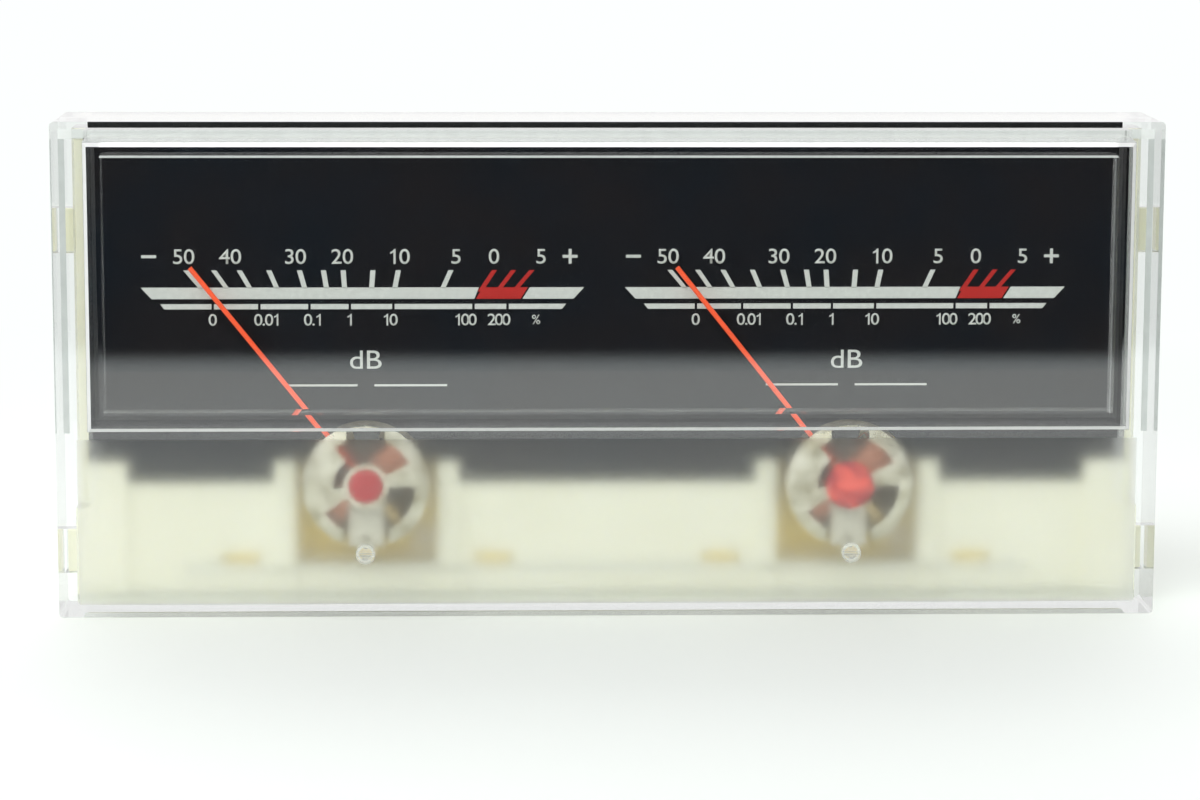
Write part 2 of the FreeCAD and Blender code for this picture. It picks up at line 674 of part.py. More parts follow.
def rear_hairspring():
    return hairspring(REAR_STAFF_BACK + (COLLET_LENGTH - SPRING_HEIGHT) / 2)


# Moving pieces, drawn with the pointer straight up

def moving_coil():
    levels = (COIL_FRONT, COIL_BACK)
    half = COIL_WIDTH / 2
    body = block((-COIL_HALF_WIDTH, COIL_HALF_WIDTH), levels, (-half, half))
    body = body.makeFillet(COIL_CORNER, edges_along(body, Vector(0, 0, 1)))
    return body.cut(block((-FORMER_HALF_WIDTH, FORMER_HALF_WIDTH), (FORMER_FRONT, FORMER_BACK), (-half, half)))


def coil_former():
    half = COIL_WIDTH / 2
    inner = FORMER_HALF_WIDTH - FORMER_THICKNESS
    body = block((-FORMER_HALF_WIDTH, FORMER_HALF_WIDTH), (FORMER_FRONT, FORMER_BACK), (-half, half))
    return body.cut(block((-inner, inner), (FORMER_FRONT + FORMER_THICKNESS, FORMER_BACK - FORMER_THICKNESS),
                          (-half, half)))


def pivots():
    """Front and rear pivots, each with the collet of its hairspring."""
    front = rod(PIVOT_TIP_RADIUS, (SCREW_TIP - JEWEL_DEPTH + PIVOT_TIP_GAP, COLLET_FRONT))
    front = front.fuse(rod(COLLET_RADIUS, (COLLET_FRONT, COLLET_BACK)))
    front = front.fuse(rod(STAFF_RADIUS, (COLLET_BACK, COIL_FRONT)))
    rear = rod(STAFF_RADIUS, (COIL_BACK, REAR_STAFF_BACK))
    rear = rear.fuse(rod(COLLET_RADIUS, (REAR_STAFF_BACK, REAR_COLLET_BACK)))
    rear = rear.fuse(rod(PIVOT_TIP_RADIUS, (REAR_COLLET_BACK, REAR_SCREW_TIP + JEWEL_DEPTH - PIVOT_TIP_GAP)))
    return Part.makeCompound([front, rear])


def pointer():
    """Thin tube from the balance arm's hub to the scale."""
    base = Vector(0, POINTER_LEVEL, ARM_HUB_RADIUS)
    length = POINTER_REACH - ARM_HUB_RADIUS
    up = Vector(0, 0, 1)
    tube = Part.makeCylinder(POINTER_DIAMETER / 2, length, base, up)
    return tube.cut(Part.makeCylinder(POINTER_BORE / 2, length, base, up))


def balance_arm():
    """Hub on the front pivot, with a tail that carries the counterweight."""
    levels = (ARM_FRONT, ARM_FRONT + ARM_THICKNESS)
    half = ARM_WIDTH / 2
    body = rod(ARM_HUB_RADIUS, levels).fuse(block((-half, half), levels, (-WEIGHT_START, ARM_HUB_RADIUS)))
    return body.cut(rod(STAFF_RADIUS, levels))


def counterweight():
    """Brass weight, as long as it takes to balance the pointer and the arm about the pivot."""
    moment = 0.0
    for shape, density in ((pointer(), POINTER_DENSITY), (balance_arm(), ARM_DENSITY)):
        for solid in shape.Solids:
            moment += density * solid.Volume * solid.CenterOfMass.z
    line_mass = WEIGHT_DENSITY * math.pi * WEIGHT_RADIUS ** 2
    # line_mass * length * (WEIGHT_START + length / 2) = moment, solved for length
    length = math.sqrt(WEIGHT_START ** 2 + 2 * moment / line_mass) - WEIGHT_START
    base = Vector(0, POINTER_LEVEL, -WEIGHT_START)
    return Part.makeCylinder(WEIGHT_RADIUS, length, base, Vector(0, 0, -1))


# Zero adjustment

def zero_lever():
    levels = (LEVER_FRONT, LEVER_BACK)
    half = LEVER_WIDTH / 2
    body = rod(LEVER_HUB_RADIUS, levels).fuse(block((-half, half), levels, (-LEVER_LENGTH, 0.0)))
    peg = peg_radius()
    body = body.fuse(block((0.0, peg), levels, (-2 * PEG_RADIUS, 2 * PEG_RADIUS)))
    body = body.fuse(rod(2 * PEG_RADIUS, levels, peg))
    body = body.fuse(rod(PEG_RADIUS, (LEVER_FRONT, COLLET_BACK), peg))
    body = body.cut(rod(BRIDGE_SLEEVE_RADIUS + LEVER_BEARING_GAP, levels))
    fork = CRANK_PIN_RADIUS + FORK_GAP
    fork_top = STUD_HEIGHT + CRANK_OFFSET + CRANK_PIN_RADIUS + FORK_END_GAP - PIVOT_HEIGHT
    return body.cut(block((-fork, fork), levels, (-LEVER_LENGTH, fork_top))).removeSplitter()


def zero_stud():
    """Slotted stud through the cover's front, with a crank pin behind it."""
    drop = STUD_HEIGHT - PIVOT_HEIGHT
    head = (-STUD_HEAD_RISE, -STUD_RUNNING_GAP)
    collar = (FRONT_WALL + STUD_RUNNING_GAP, FRONT_WALL + STUD_RUNNING_GAP + STUD_COLLAR)
    outline = [(0.0, head[0]), (STUD_HEAD_RADIUS - STUD_HEAD_CHAMFER, head[0]),
               (STUD_HEAD_RADIUS, head[0] + STUD_HEAD_CHAMFER), (STUD_HEAD_RADIUS, head[1]),
               (STUD_SHANK_RADIUS, head[1]), (STUD_SHANK_RADIUS, collar[0]),
               (STUD_HEAD_RADIUS, collar[0]), (STUD_HEAD_RADIUS, collar[1]), (0.0, collar[1])]
    body = turned(outline)
    # The surfaces' seam is turned away from the slot
    body.rotate(Vector(0, 0, 0), Y_AXIS, 90)
    body = body.fuse(rod(CRANK_PIN_RADIUS, (collar[1], LEVER_BACK + CRANK_OVERRUN), 0.0, CRANK_OFFSET))
    slot_levels = (head[0] - 1.0, head[0] + STUD_SLOT_DEPTH)
    body = body.cut(slot_cut(STUD_HEAD_RADIUS, slot_levels, STUD_SLOT_WIDTH))
    body.translate(Vector(0, 0, drop))
    return body


FIXED = {"front_bridge": front_bridge, "front_screw": front_screw, "magnet_core": magnet_core,
         "core_clamp": core_clamp, "yoke_ring": yoke_ring, "base_plate": base_plate,
         "plate_screws": plate_screws, "rear_bridge": rear_bridge, "rear_screw": rear_screw,
         "rear_hairspring": rear_hairspring, "terminals": terminals}
ZERO = {"front_hairspring": front_hairspring, "zero_lever": zero_lever, "zero_stud": zero_stud}
COIL = {"moving_coil": moving_coil, "coil_former": coil_former}
SWINGING = {"pivots": pivots, "pointer": pointer, "balance_arm": balance_arm, "counterweight": counterweight}
COMMON = {"clear_cover": clear_cover, "dial_plate": dial_plate, "dial_diffuser": dial_diffuser,
          "rear_housing": rear_housing, "led_board": led_board, "led_lamps": led_lamps,
          "lamp_terminals": lamp_terminals}


def save(node, shape):
    """Move a shape from the cover's front face to the part's origin and write it."""
    shape.translate(Vector(0, -ORIGIN_Y, 0))
    shape.exportStep(os.path.join("parts", node + ".step"))


def place(side, shape, turn=0.0):
    """Turn a movement's piece clockwise about its pivot and set it on its side of the meter."""
    shape.rotate(Vector(0, 0, 0), Y_AXIS, turn)
    shape.translate(Vector(SIDES[side], 0, PIVOT_HEIGHT))
    return shape


def main():
    os.makedirs("parts", exist_ok=True)
    for node, make in COMMON.items():
        save(node, make())
    for side in SIDES:
        for name, make in list(FIXED.items()) + list(ZERO.items()):
            save(side + "_" + name, place(side, make()))
        for name, make in list(SWINGING.items()) + list(COIL.items()):
            save(side + "_" + name, place(side, make(), REST_ANGLE))
        save(side + "_varnish", place(side, varnish(side)))
    print("whole depth", round(PIN_END + WINDOW_RISE, 3), "origin lies", round(ORIGIN_Y, 3), "behind the flange")
    print("hairspring gap", round((SPRING_OUTER_RADIUS - COLLET_RADIUS - SPRING_GAP - SPRING_STRIP / 2)
                                  / SPRING_TURNS - SPRING_STRIP, 3))


main()
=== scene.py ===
import json
import math

import bmesh
import bpy
from mathutils import Matrix, Vector


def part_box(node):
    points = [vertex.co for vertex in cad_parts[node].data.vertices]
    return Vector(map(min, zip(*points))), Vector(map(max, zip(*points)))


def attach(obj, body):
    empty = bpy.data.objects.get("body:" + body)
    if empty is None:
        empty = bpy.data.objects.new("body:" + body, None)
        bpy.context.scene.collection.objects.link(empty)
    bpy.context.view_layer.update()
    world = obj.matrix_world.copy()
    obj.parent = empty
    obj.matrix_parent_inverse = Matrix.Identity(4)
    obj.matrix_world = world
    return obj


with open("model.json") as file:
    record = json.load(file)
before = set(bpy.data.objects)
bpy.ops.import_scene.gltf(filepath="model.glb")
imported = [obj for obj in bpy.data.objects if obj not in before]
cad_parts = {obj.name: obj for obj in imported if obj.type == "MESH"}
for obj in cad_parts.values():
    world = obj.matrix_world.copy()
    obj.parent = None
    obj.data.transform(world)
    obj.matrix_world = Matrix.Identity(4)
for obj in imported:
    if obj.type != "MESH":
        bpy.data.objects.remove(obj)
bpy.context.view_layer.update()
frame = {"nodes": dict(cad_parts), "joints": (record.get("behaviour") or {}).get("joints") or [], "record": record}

MM = 0.001
SIDES = ("left", "right")

# Levels and places that come from the frame
DIAL_LOW, DIAL_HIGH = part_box("dial_plate")
COVER_LOW, COVER_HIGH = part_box("clear_cover")
HOUSING_LOW, HOUSING_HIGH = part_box("rear_housing")
LAMPS_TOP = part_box("led_lamps")[1].z
PIVOTS = {joint["child"].split("_")[0]: Vector(joint["pos_m"])
          for joint in frame["joints"] if joint["name"].endswith("pointer_swing")}

# Cover: the window block stands out from the face, which is frosted below it
WINDOW_RISE = 6.5 * MM
WINDOW_BEVEL = 0.6 * MM
BEVEL_MARGIN = 0.03 * MM
FLANGE_FACE = COVER_LOW.y + WINDOW_RISE
FACE_TOLERANCE = 0.05 * MM
FROST_BOTTOM = 1.8 * MM
FROST_TOP = 25.4 * MM
FROST_HALF_WIDTH = 74.6 * MM

# Film border round the dial, with painted shade at its sides, and the painted dark line on the rim
FILM_GAP = 0.05 * MM
FILM_WIDTH = 0.85 * MM
FILM_LEVELS = (DIAL_HIGH.y + 0.25 * MM, DIAL_HIGH.y + 0.39 * MM)
DARK_LINE_WIDTH = 0.7 * MM
DARK_LINE_RISE = 0.15 * MM

LENS_DEPTH = 0.3 * MM

# Camera, fitted to the corners of the cover in the photograph
CAMERA_PLACE = Vector((-17.8, -516.35, 113.2)) * MM
CAMERA_PITCH = math.radians(9.24)
CAMERA_YAW = math.radians(1.87)
CAMERA_ROLL = math.radians(0.17)
CAMERA_LENS = 109.5
CAMERA_SENSOR = 36.0
CAMERA_NEAR = 0.01

# Dial print, in millimetres from each dial's own middle line and from the part's base
PRINT_OFFSET = {"left": 0.0, "right": -0.27}
PRINT_THICKNESS = 0.04
RAISED_PRINT = 1.2 * PRINT_THICKNESS

# Figures: places, and the pitch and weight as shares of the height
FIGURES = (("50", -25.55), ("40", -18.98), ("30", -9.85), ("20", -3.22),
           ("10", 4.77), ("5", 12.82), ("0", 18.19), ("5", 24.83))
FIGURE_LEVEL = 50.4
FIGURE_HEIGHT = 2.12
FIGURE_PITCH = 0.76
FIGURE_WEIGHT = 0.004
LOWER_FIGURES = (("0", -21.55), ("0.01", -13.85), ("0.1", -7.35), ("1", -2.21),
                 ("10", 3.45), ("100", 14.1), ("200", 18.88))
LOWER_LEVEL = 41.4
LOWER_HEIGHT = 1.67
LOWER_PITCH = 0.62
LOWER_WEIGHT = 0.006
POINT_PITCH = 0.29
GLYPH_WIDTH = 1.1
# A plain figure one with its flag, 1 high
ONE_OUTLINE = ((0.02, 0.0), (0.16, 0.0), (0.16, 1.0), (0.06, 1.0),
               (-0.04, 0.87), (-0.2, 0.79), (-0.2, 0.66), (0.02, 0.77))
PERCENT_PLACE = 24.13
PERCENT_HEIGHT = 1.35
PERCENT_WIDTH = 0.95
UNIT_LEVEL = 35.68
UNIT_HEIGHT = 2.6
UNIT_WIDTH = 1.16

# Marks of the upper scale
MINUS_PLACE = -30.43
PLUS_PLACE = 28.94
SIGN_ARM = 1.05
SIGN_STROKE = 0.42
TICKS = (-25.26, -21.32, -17.73, -13.57, -9.26, -5.89, -3.1, 1.09, 4.68, 12.11)
RED_TICKS = (18.25, 20.95, 23.55)
TICK_TOP = 48.45
TICK_WIDTH = 0.72
TICK_CENTRE = -1.1
TICK_CENTRE_BELOW = 29.0
TICK_OVERLAP = 0.1
RED_TICK_OVERLAP = 0.6
BAR_TOP = 46.0
BAR_BOTTOM = 44.36
# Each bar's ends at the bottom and at the top
LIGHT_BARS = (((-30.11, 15.4), (-31.63, 16.05)), ((22.2, 29.44), (23.25, 30.93)))
RED_BAR = ((15.62, 21.95), (16.6, 22.95))

# Thin bar of the lower scale, and the two rules below the unit
THIN_BAR_TOP = 43.65
THIN_BAR_BOTTOM = 42.9
THIN_BAR_ENDS = (-28.93, 28.38)
THIN_BAR_SLANT = 0.59
THIN_BAR_GAP = 0.36
THIN_BAR_GAPS = (-21.53, -14.97, -7.9, -2.2, 3.95, 15.27, 20.09)
RULE_LEVEL = 32.0
RULE_INNER = 1.2
RULE_OUTER = 11.5
RULE_STROKE = 0.3

# Floor, with its even white from near to far, and the dark room that the window mirrors
FLOOR_HALF = 3.0
FLOOR_LEVEL = -0.0001
PAPER_REACH = (0.11, 0.3)
GLOW_SPAN = (-0.1, 0.25)
GLOW_STRENGTH = (0.9, 1.02)
DARK_START = -0.247
DARK_FULL = -0.278
DARK_HALF = 1.5
DARK_LEVEL = 0.0005

# Lamps: name, place, size and power
LAMPS = (
    ("key", (-0.35, -0.45, 0.75), (0.7, 0.5), 4.8),
    ("fill", (0.6, -0.5, 0.5), (0.6, 0.6), 0.4),
    ("back", (0.0, 0.8, 0.7), (1.2, 0.6), 2.6),
)
LAMP_TARGET = Vector((0.0, 0.0, 0.03))
ROOM_LIGHT = 0.65
ROOM_SEEN = 1.0


# Material tools

def new_material(name, color, roughness, metallic=0.0, **inputs):
    """Principled material; the other sockets are set by name, with _ for a space."""
    made = bpy.data.materials.new(name)
    made.use_nodes = True
    shader = made.node_tree.nodes["Principled BSDF"]
    shader.inputs["Base Color"].default_value = (*color, 1.0)
    shader.inputs["Roughness"].default_value = roughness
    shader.inputs["Metallic"].default_value = metallic
    for key, value in inputs.items():
        shader.inputs[key.replace("_", " ")].default_value = value
    return made


def add(owner, kind, **settings):
    """New node in a material or the world, with attributes or input values set by name."""
    node = owner.node_tree.nodes.new(kind)
    for key, value in settings.items():
        if hasattr(node, key):
            setattr(node, key, value)
        else:
            node.inputs[key.replace("_", " ")].default_value = value
    return node


def link(owner, source, target):
    owner.node_tree.links.new(source, target)


def shader_input(mat, name):
    return mat.node_tree.nodes["Principled BSDF"].inputs[name]


def place_socket(mat):
    """Position in the row frame, in metres."""
    return add(mat, "ShaderNodeTexCoord").outputs["Object"]


def place_parts(mat):
    """X, Y and Z of the position, each as a socket."""
    split = add(mat, "ShaderNodeSeparateXYZ")
    link(mat, place_socket(mat), split.inputs["Vector"])
    return split.outputs["X"], split.outputs["Y"], split.outputs["Z"]


def math_socket(owner, operation, *values):
    """Result of a math node, from numbers and sockets."""
    node = add(owner, "ShaderNodeMath", operation=operation)
    for index, value in enumerate(values):
        if isinstance(value, (int, float)):
            node.inputs[index].default_value = value
        else:
            link(owner, value, node.inputs[index])
    return node.outputs["Value"]


def all_of(mat, *masks):
    """1 where every mask is 1."""
    result = masks[0]
    for mask in masks[1:]:
        result = math_socket(mat, "MULTIPLY", result, mask)
    return result


def is_ray(owner, *kinds):
    """1 for rays of the kinds named."""
    rays = add(owner, "ShaderNodeLightPath")
    result = rays.outputs["Is " + kinds[0] + " Ray"]
    for kind in kinds[1:]:
        result = math_socket(owner, "MAXIMUM", result, rays.outputs["Is " + kind + " Ray"])
    return result


def noise_socket(mat, scale, detail=3.0, stretch=(1.0, 1.0, 1.0)):
    mapping = add(mat, "ShaderNodeMapping", Scale=stretch)
    link(mat, place_socket(mat), mapping.inputs["Vector"])
    noise = add(mat, "ShaderNodeTexNoise", Scale=scale, Detail=detail)
    link(mat, mapping.outputs["Vector"], noise.inputs["Vector"])
    return noise.outputs["Fac"]


def remap(owner, source, span, out, interpolation="LINEAR"):
    """Maps a span of values to another one, and holds its ends beyond."""
    node = add(owner, "ShaderNodeMapRange", interpolation_type=interpolation,
               From_Min=span[0], From_Max=span[1], To_Min=out[0], To_Max=out[1])
    link(owner, source, node.inputs["Value"])
    return node.outputs["Result"]


def mix_color(mat, first, second, factor):
    """Base colour between two colours."""
    mix = add(mat, "ShaderNodeMix", data_type="RGBA")
    mix.inputs["A"].default_value = (*first, 1.0)
    mix.inputs["B"].default_value = (*second, 1.0)
    link(mat, factor, mix.inputs["Factor"])
    link(mat, mix.outputs["Result"], shader_input(mat, "Base Color"))


def vary_color(mat, first, second, scale, detail=3.0):
    """Base colour that drifts between two colours."""
    drift = remap(mat, noise_socket(mat, scale, detail), (0.35, 0.65), (0.0, 1.0))
    mix_color(mat, first, second, drift)


def vary_roughness(mat, low, high, scale):
    drift = remap(mat, noise_socket(mat, scale, detail=2.0), (0.3, 0.7), (low, high))
    link(mat, drift, shader_input(mat, "Roughness"))


def add_bump(mat, height, strength, distance):
    bump = add(mat, "ShaderNodeBump", Strength=strength, Distance=distance)
    link(mat, height, bump.inputs["Height"])
    link(mat, bump.outputs["Normal"], shader_input(mat, "Normal"))


def blend_surface(mat, factor, other):
    """Shows another shader where the factor is 1."""
    nodes = mat.node_tree.nodes
    mix = add(mat, "ShaderNodeMixShader")
    link(mat, factor, mix.inputs[0])
    link(mat, nodes["Principled BSDF"].outputs["BSDF"], mix.inputs[1])
    link(mat, other, mix.inputs[2])
    link(mat, mix.outputs["Shader"], nodes["Material Output"].inputs["Surface"])


def clear_for_lamps(mat):
    """Lets lamp light and bounced light through clear plastic, so that what is inside is lit."""
    transparent = add(mat, "ShaderNodeBsdfTransparent", Color=(0.97, 0.98, 0.97, 1.0))
    blend_surface(mat, is_ray(mat, "Shadow", "Diffuse"), transparent.outputs["BSDF"])


def shade(color, share):
    return tuple(share * value for value in color)


def paint(obj, mat):
    obj.data.materials.clear()
    obj.data.materials.append(mat)


# Materials

def cover_plastic():
    """Clear plastic, sandblasted on the front below the window, with a dull bevel round the window."""
    mat = new_material("cover_plastic", (0.97, 0.98, 0.975), 0.0,
                       Transmission_Weight=1.0, IOR=1.49, Coat_IOR=1.6)
    x, y, z = place_parts(mat)
    frosted = all_of(mat,
                     math_socket(mat, "COMPARE", y, FLANGE_FACE, FACE_TOLERANCE),
                     math_socket(mat, "LESS_THAN", z, FROST_TOP),
                     math_socket(mat, "LESS_THAN", math_socket(mat, "ABSOLUTE", x), FROST_HALF_WIDTH),
                     math_socket(mat, "GREATER_THAN", z, FROST_BOTTOM))
    bevel = all_of(mat,
                   math_socket(mat, "GREATER_THAN", y, COVER_LOW.y + BEVEL_MARGIN),
                   math_socket(mat, "LESS_THAN", y, COVER_LOW.y + WINDOW_BEVEL - BEVEL_MARGIN))
    frost = remap(mat, noise_socket(mat, 2500.0, detail=2.0), (0.3, 0.7), (0.5, 0.58))
    rough = math_socket(mat, "ADD", all_of(mat, frosted, frost), math_socket(mat, "MULTIPLY", bevel, 0.35))
    dull = math_socket(mat, "MAXIMUM", frosted, bevel)
    link(mat, rough, shader_input(mat, "Roughness"))
    link(mat, remap(mat, bevel, (0.0, 1.0), (1.0, 0.3)), shader_input(mat, "Transmission Weight"))
    link(mat, remap(mat, dull, (0.0, 1.0), (1.0, 0.0)), shader_input(mat, "Coat Weight"))
    clear_for_lamps(mat)
    return mat


def clear_plastic():
    mat = new_material("stud_plastic", (0.93, 0.94, 0.9), 0.06, Transmission_Weight=0.75, IOR=1.49)
    clear_for_lamps(mat)
    return mat


def dial_black():
    mat = new_material("dial_black", (0.008, 0.009, 0.012), 0.5, Specular_IOR_Level=0.15)
    vary_color(mat, (0.004, 0.007, 0.012), (0.009, 0.008, 0.010), scale=60.0)
    vary_roughness(mat, 0.45, 0.6, scale=400.0)
    add_bump(mat, noise_socket(mat, 6000.0), strength=0.03, distance=0.01 * MM)
    return mat


def print_ink(name, color):
    mat = new_material(name, color, 0.55)
    vary_color(mat, color, shade(color, 0.9), scale=1500.0)
    return mat


def ivory_plastic():
    mat = new_material("ivory_plastic", (0.92, 0.9, 0.74), 0.42, Subsurface_Weight=0.15,
                       Subsurface_Radius=(1.2 * MM, 1.1 * MM, 0.7 * MM))
    vary_color(mat, (0.93, 0.91, 0.75), (0.9, 0.88, 0.71), scale=90.0)
    vary_roughness(mat, 0.36, 0.5, scale=300.0)
    add_bump(mat, noise_socket(mat, 1800.0), strength=0.08, distance=0.04 * MM)
    return mat


def gold_plate():
    """Yellow passivated plate with faint iridescence and a fine brushed grain."""
    light = (1.0, 0.97, 0.8)
    mat = new_material("gold_plate", light, 0.3, metallic=1.0)
    vary_color(mat, light, (0.5, 0.46, 0.31), scale=260.0, detail=1.0)
    vary_roughness(mat, 0.22, 0.36, scale=700.0)
    grain = noise_socket(mat, 3000.0, detail=2.0, stretch=(1.0, 1.0, 4.0))
    add_bump(mat, grain, strength=0.06, distance=0.02 * MM)
    return mat


def yellow_plate():
    """Yellow passivated zinc, duller and deeper in colour than the bridges; its faint glow is painted light, which
    brightens the plate where it lies in shade deep in the bay.
    """
    # Painted glow: the emission lightens the plate in the shaded bay; the plate is no lamp
    mat = new_material("yellow_plate", (1.0, 0.78, 0.2), 0.4, metallic=0.1, Emission_Strength=0.15,
                       Emission_Color=(1.0, 0.75, 0.2, 1.0))
    vary_color(mat, (1.0, 0.82, 0.24), (0.98, 0.72, 0.14), scale=300.0)
    vary_roughness(mat, 0.3, 0.45, scale=700.0)
    return mat


def fresh_varnish():
    """Varnish still glossy, laid on in blobs of deep and bright red."""
    mat = new_material("fresh_varnish", (0.8, 0.06, 0.04), 0.2)
    vary_color(mat, (0.95, 0.085, 0.05), (0.42, 0.012, 0.02), scale=420.0, detail=1.0)
    vary_roughness(mat, 0.15, 0.3, scale=600.0)
    add_bump(mat, noise_socket(mat, 700.0), strength=0.2, distance=0.05 * MM)
    return mat


def turned_metal(name, color, roughness=0.25):
    mat = new_material(name, color, roughness, metallic=1.0)
    vary_color(mat, color, shade(color, 0.85), scale=500.0)
    vary_roughness(mat, 0.8 * roughness, 1.3 * roughness, scale=900.0)
    rings = noise_socket(mat, 5000.0, detail=1.0, stretch=(1.0, 6.0, 1.0))
    add_bump(mat, rings, strength=0.05, distance=0.01 * MM)
    return mat


def dark_iron(name, color):
    mat = new_material(name, color, 0.45, metallic=0.6)
    vary_color(mat, color, shade(color, 0.6), scale=400.0)
    vary_roughness(mat, 0.38, 0.6, scale=800.0)
    add_bump(mat, noise_socket(mat, 2500.0), strength=0.15, distance=0.02 * MM)
    return mat


def copper_winding():
    """Enamelled wire: fine turns side by side."""
    mat = new_material("copper_winding", (0.95, 0.42, 0.27), 0.3, metallic=0.5)
    vary_color(mat, (1.0, 0.46, 0.3), (0.85, 0.34, 0.2), scale=700.0)
    turns = add(mat, "ShaderNodeTexWave", wave_type="BANDS", bands_direction="X",
                Scale=1500.0, Distortion=0.6)
    link(mat, place_socket(mat), turns.inputs["Vector"])
    add_bump(mat, turns.outputs["Fac"], strength=0.5, distance=0.04 * MM)
    return mat


def plain_plastic(name, color, roughness, scale=500.0, **inputs):
    mat = new_material(name, color, roughness, **inputs)
    vary_color(mat, color, shade(color, 0.93), scale)
    vary_roughness(mat, 0.85 * roughness, 1.2 * roughness, scale)
    add_bump(mat, noise_socket(mat, 3 * scale), strength=0.06, distance=0.02 * MM)
    return mat


def lamp_material():
    """Pale lamp body with a yellow well of phosphor in its top; the whole body glows faintly, a painted light that
    brightens it in its shaded recess, though the lamp is off.
    """
    # Painted glow: the emission lightens the lamp in its shaded recess
    mat = new_material("lamp_material", (0.95, 0.78, 0.25), 0.4, Emission_Strength=0.3,
                       Emission_Color=(1.0, 0.78, 0.22, 1.0))
    vary_roughness(mat, 0.35, 0.5, scale=600.0)
    _, _, z = place_parts(mat)
    well = math_socket(mat, "GREATER_THAN", z, LAMPS_TOP - LENS_DEPTH)
    yellow = remap(mat, noise_socket(mat, 900.0), (0.3, 0.7), (0.85, 1.0))
    mix_color(mat, (0.95, 0.82, 0.38), (0.95, 0.66, 0.1), all_of(mat, well, yellow))
    return mat


MATERIALS = {
    "clear_plastic": clear_plastic(),
    "ivory_plastic": ivory_plastic(),
    "dial_black": dial_black(),
    "diffuser_film": plain_plastic("diffuser_film", (0.86, 0.87, 0.84), 0.5),
    "gold_plate": gold_plate(),
    "brass": turned_metal("brass", (0.8, 0.62, 0.3)),
    "magnet_alloy": dark_iron("magnet_alloy", (0.2, 0.19, 0.15)),
    "soft_iron": dark_iron("soft_iron", (0.3, 0.27, 0.19)),
    "plated_steel": turned_metal("plated_steel", (0.72, 0.7, 0.64)),
    "spring_bronze": turned_metal("spring_bronze", (0.72, 0.47, 0.25)),
    "tinned_pin": turned_metal("tinned_pin", (0.78, 0.78, 0.76), roughness=0.2),
    "red_varnish": plain_plastic("red_varnish", (0.52, 0.012, 0.018), 0.22, scale=600.0),
    # Fluorescent orange-red paint; its emission is a painted glow, standing in for the fluorescence, that shines
    # the same under any light
    "red_paint": plain_plastic("red_paint", (1.0, 0.09, 0.032), 0.35, scale=800.0, Emission_Strength=0.2,
                               Emission_Color=(1.0, 0.2, 0.04, 1.0)),
    "aluminium": turned_metal("aluminium", (0.88, 0.87, 0.8), roughness=0.3),
    "copper": copper_winding(),
    "grey_nylon": plain_plastic("grey_nylon", (0.68, 0.65, 0.53), 0.4, scale=600.0),
    "white_board": plain_plastic("white_board", (0.82, 0.83, 0.74), 0.4, scale=700.0),
    "lamp_yellow": lamp_material(),
}
YELLOW_PLATE = yellow_plate()
BLACKENED_CLAMP = dark_iron("blackened_clamp", (0.06, 0.06, 0.06))
NODE_MATERIALS = {
    "clear_cover": cover_plastic(),
    "left_base_plate": YELLOW_PLATE,
    "right_base_plate": YELLOW_PLATE,
    "left_core_clamp": BLACKENED_CLAMP,
    "right_core_clamp": BLACKENED_CLAMP,
    "right_varnish": fresh_varnish(),
}

for subpart in frame["record"]["subparts"]:
    node = subpart["node"]
    paint(frame["nodes"][node], NODE_MATERIALS.get(node, MATERIALS[subpart["material_slot"]]))


def finish_piece(mesh, name, ink, place=(0.0, 0.0, 0.0), thickness=0.0):
    """Turns a mesh into a piece of the part, made solid if it has a thickness."""
    mesh.normal_update()
    data = bpy.data.meshes.new(name)
    mesh.to_mesh(data)
    mesh.free()
    piece = bpy.data.objects.new(name, data)
    bpy.context.scene.collection.objects.link(piece)
    piece.location = place
    if thickness:
        solidify = piece.modifiers.new("thickness", "SOLIDIFY")
        solidify.thickness = thickness
        solidify.offset = 1.0
    paint(piece, ink)
    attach(piece, "root")


# Dial print, with lengths in millimetres

def ink_plate(mesh, corners, depth=PRINT_THICKNESS):
    """Flat plate of ink on the dial from (x, z) corners, raised towards the viewer."""
    back = [mesh.verts.new((x * MM, 0.0, z * MM)) for x, z in corners]
    front = [mesh.verts.new((x * MM, -depth * MM, z * MM)) for x, z in corners]
    mesh.faces.new(back)
    mesh.faces.new(front[::-1])
    for index in range(len(corners)):
        following = (index + 1) % len(corners)
        mesh.faces.new((back[index], front[index], front[following], back[following]))


def bar(bottom_x, top_x, bottom, top):
    """Corners of a bar with level edges, from its ends at the bottom and at the top."""
    return [(bottom_x[0], bottom), (bottom_x[1], bottom), (top_x[1], top), (top_x[0], top)]


def stroke(x, z, half_width, half_height):
    """Corners of an upright or level stroke about its middle."""
    ends = (x - half_width, x + half_width)
    return bar(ends, ends, z - half_height, z + half_height)


def scale_tick(top_x, bottom):
    """Corners of a mark that leans towards the scale's own centre."""
    lean = (top_x - TICK_CENTRE) / TICK_CENTRE_BELOW
    bottom_x = top_x - lean * (TICK_TOP - bottom)
    half = TICK_WIDTH / 2
    return bar((bottom_x - half, bottom_x + half), (top_x - half, top_x + half), bottom, TICK_TOP)


def thin_bars():
    """Corners of the lower scale's bars; the first and the last have a slanted outer end."""
    half_gap = THIN_BAR_GAP / 2
    starts = [THIN_BAR_ENDS[0]] + [gap + half_gap for gap in THIN_BAR_GAPS]
    ends = [gap - half_gap for gap in THIN_BAR_GAPS] + [THIN_BAR_ENDS[1]]
    low_starts = [starts[0] + THIN_BAR_SLANT] + starts[1:]
    low_ends = ends[:-1] + [ends[-1] - THIN_BAR_SLANT]
    return [bar(low, high, THIN_BAR_BOTTOM, THIN_BAR_TOP)
            for low, high in zip(zip(low_starts, low_ends), zip(starts, ends))]


